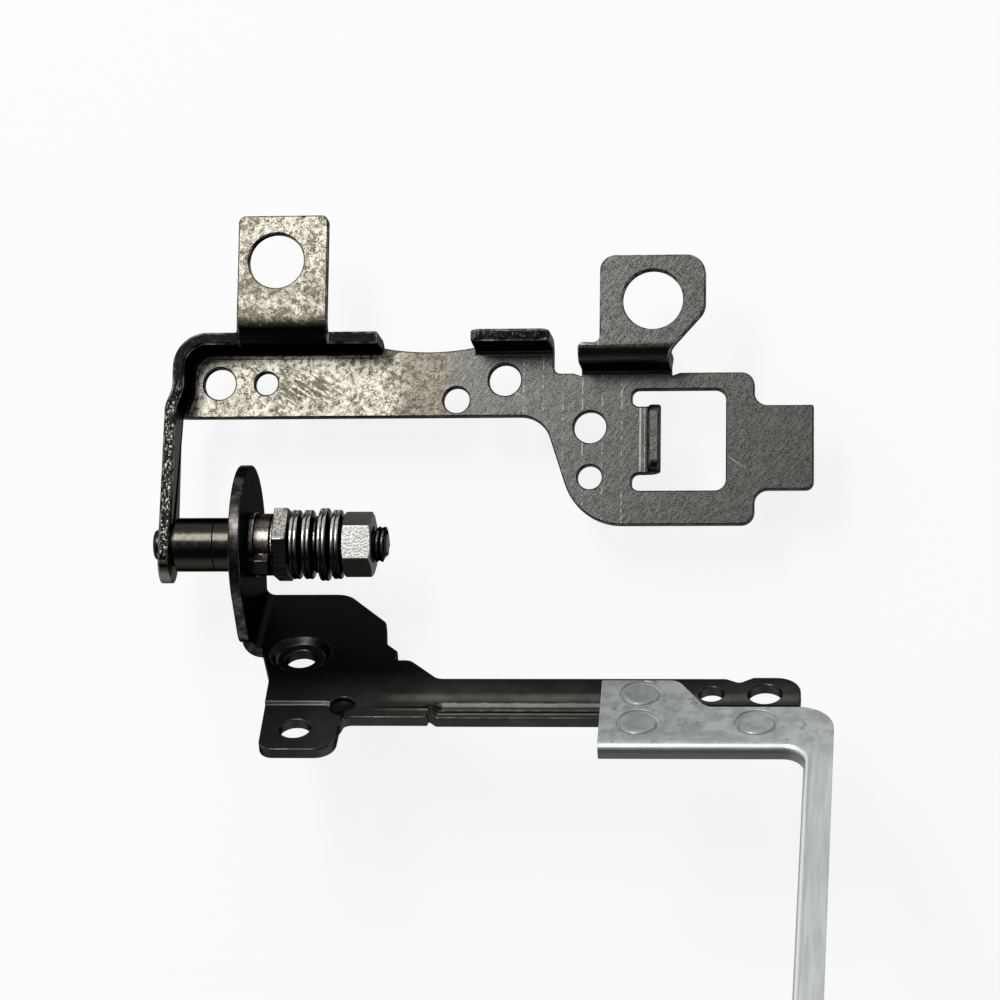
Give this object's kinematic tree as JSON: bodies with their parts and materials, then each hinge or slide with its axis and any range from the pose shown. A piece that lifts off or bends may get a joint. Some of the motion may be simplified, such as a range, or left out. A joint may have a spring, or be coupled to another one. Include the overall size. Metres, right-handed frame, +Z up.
{
  "type": "laptop hinge",
  "caption": "Friction hinge for a laptop's left side: plated base bracket, flatted shaft with a disc spring pack and nut, black lid bracket and a riveted screen rail.",
  "frame": {"origin": "centre of the base bracket's datum screw hole, on the underside of its plate", "axes": "+X along the hinge axis from the side arm towards the nut, +Y from the axis across the base, +Z up out of the base plate"},
  "size_m": [0.0669, 0.0822, 0.0534],
  "materials": {
    "base_plating": "mottled dull nickel plating",
    "lid_black": "satin black oxide",
    "rail_zinc": "pale cloudy zinc",
    "rivet_zinc": "pale zinc, flush",
    "shaft_steel": "dark polished steel",
    "washer_steel": "oiled steel",
    "spring_steel": "dark spring steel, bright rims",
    "nut_plating": "bright plated"
  },
  "bodies": {
    "base": {"base_bracket": "base_plating", "hinge_shaft": "shaft_steel", "spacer_ring": "shaft_steel", "ear_washer": "washer_steel", "key_washer": "washer_steel", "disc_spring_1": "spring_steel", "disc_spring_2": "spring_steel", "disc_spring_3": "spring_steel", "disc_spring_4": "spring_steel", "disc_spring_5": "spring_steel", "disc_spring_6": "spring_steel", "disc_spring_7": "spring_steel", "disc_spring_8": "spring_steel", "spring_washer": "washer_steel", "lock_nut": "nut_plating"},
    "lid": {"lid_bracket": "lid_black", "friction_washer": "washer_steel", "screen_rail": "rail_zinc", "rail_rivet_1": "rivet_zinc", "rail_rivet_2": "rivet_zinc", "rail_rivet_3": "rivet_zinc"}
  },
  "joints": [
    {"name": "lid_swing", "type": "hinge", "parent": "base", "child": "lid", "pos_m": [0, -0.0168, 0.0049], "axis": [1, 0, 0], "range_deg": [-131, 9]}
  ]
}
